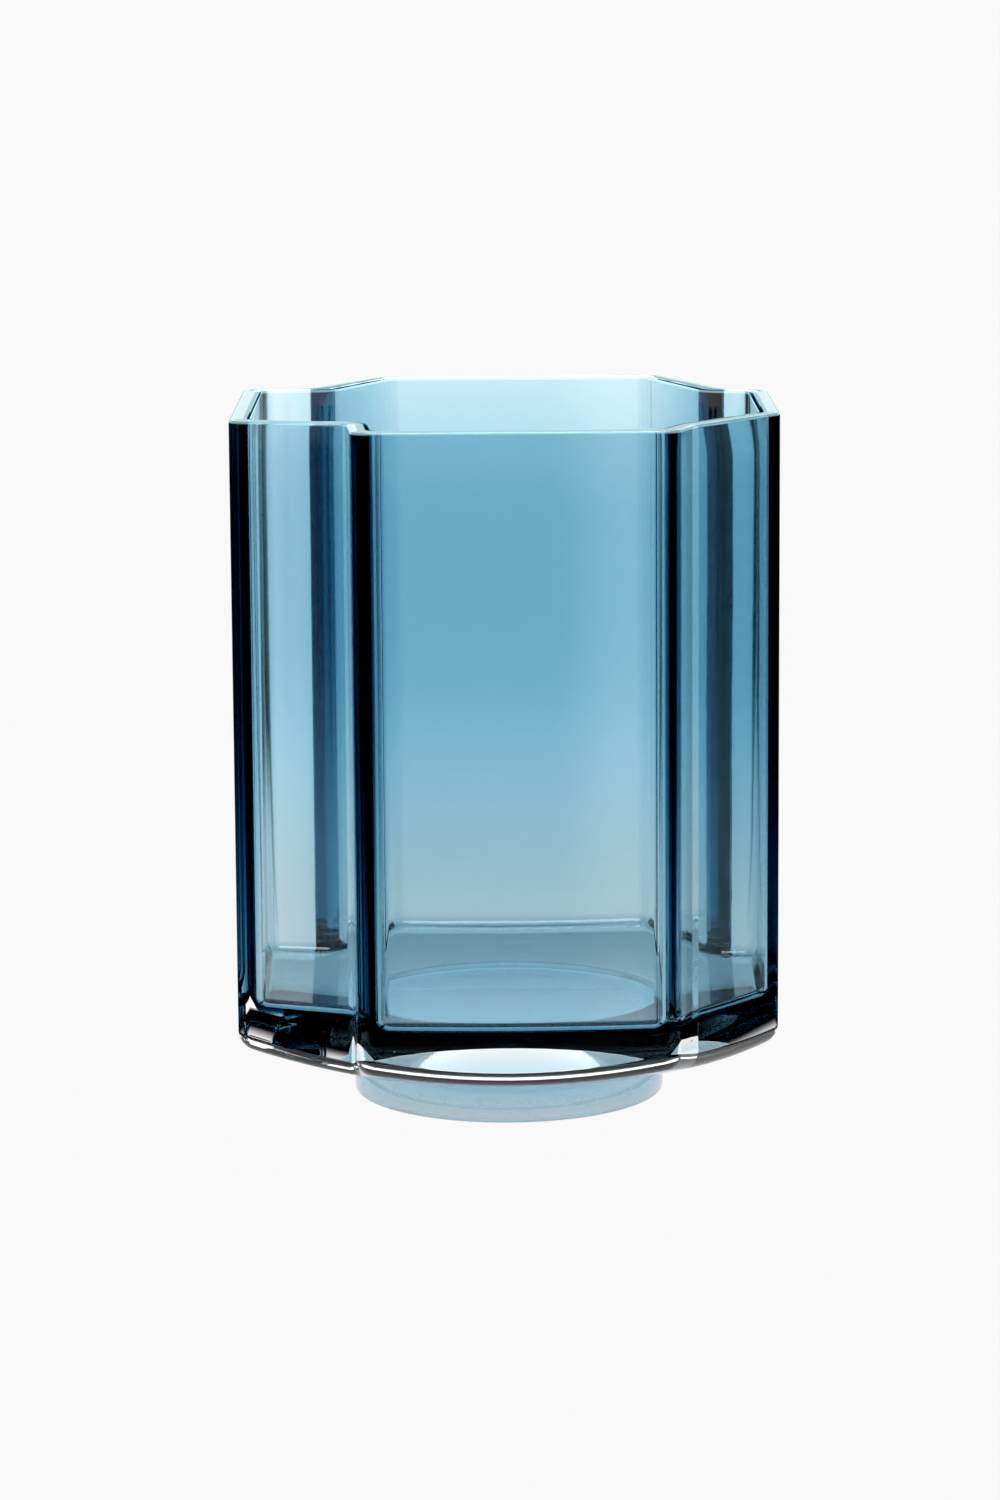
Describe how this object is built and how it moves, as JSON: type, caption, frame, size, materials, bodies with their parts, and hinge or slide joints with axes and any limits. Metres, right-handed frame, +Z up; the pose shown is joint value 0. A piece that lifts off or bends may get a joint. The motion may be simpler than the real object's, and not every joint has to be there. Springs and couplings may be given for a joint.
{
  "type": "cased glass vase",
  "caption": "Lobed glass vase with straight walls, a blue inner layer in a clear outer casing, a heavy domed base and a round clear foot.",
  "frame": {"origin": "middle of the foot's resting plane", "axes": "+Z up to the rim, -Y to the widest flat lobe at the front, +X to the right seen from the front"},
  "size_m": [0.153, 0.1564, 0.2],
  "materials": {
    "clear_glass": "clear, fire-polished",
    "blue_glass": "clear steel blue, fire-polished"
  },
  "bodies": {
    "root": {"clear_casing": "clear_glass", "blue_lining": "blue_glass", "foot": "clear_glass"}
  },
  "joints": []
}
